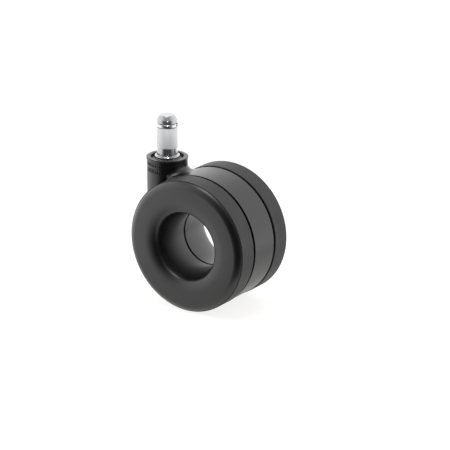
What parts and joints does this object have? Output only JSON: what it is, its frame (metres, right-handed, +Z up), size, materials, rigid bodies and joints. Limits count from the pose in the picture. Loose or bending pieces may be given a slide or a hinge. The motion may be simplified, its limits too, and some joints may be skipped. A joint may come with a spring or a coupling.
{
  "type": "twin wheel caster",
  "caption": "Black twin-wheel swivel caster with an open hub through both wheels, a round neck and a plated pin stem with a split grip ring.",
  "frame": {"origin": "on the swivel axis, at the root of the stem's pin on its flange", "axes": "+Z up the stem, +X from the swivel axis towards the wheel axis, wheel axis along Y"},
  "size_m": [0.0668, 0.0426, 0.0893],
  "materials": {
    "plated_steel": "bright zinc-plated steel",
    "spring_steel": "bright spring steel",
    "acetal": "black low-friction plastic",
    "housing_nylon": "satin-gloss black moulded plastic",
    "wheel_nylon": "fine matt dark grey moulded plastic",
    "tread_soft": "matt dark grey soft tread"
  },
  "bodies": {
    "stem": {"stem": "plated_steel", "grip_ring": "spring_steel", "stem_clip": "spring_steel"},
    "housing": {"housing": "housing_nylon", "swivel_bush": "acetal", "stem_washer": "spring_steel", "front_bush": "acetal", "rear_bush": "acetal"},
    "front_wheel": {"front_wheel": "wheel_nylon", "front_tread": "tread_soft", "front_washer": "spring_steel", "front_snap_ring": "spring_steel"},
    "rear_wheel": {"rear_wheel": "wheel_nylon", "rear_tread": "tread_soft", "rear_washer": "spring_steel", "rear_snap_ring": "spring_steel"}
  },
  "joints": [
    {"name": "swivel", "type": "hinge", "parent": "stem", "child": "housing", "pos_m": [0, 0, 0], "axis": [0, 0, 1], "continuous": true},
    {"name": "front_wheel_spin", "type": "hinge", "parent": "housing", "child": "front_wheel", "pos_m": [0.0243, 0, -0.0368], "axis": [0, 1, 0], "continuous": true},
    {"name": "rear_wheel_spin", "type": "hinge", "parent": "housing", "child": "rear_wheel", "pos_m": [0.0243, 0, -0.0368], "axis": [0, 1, 0], "continuous": true}
  ]
}
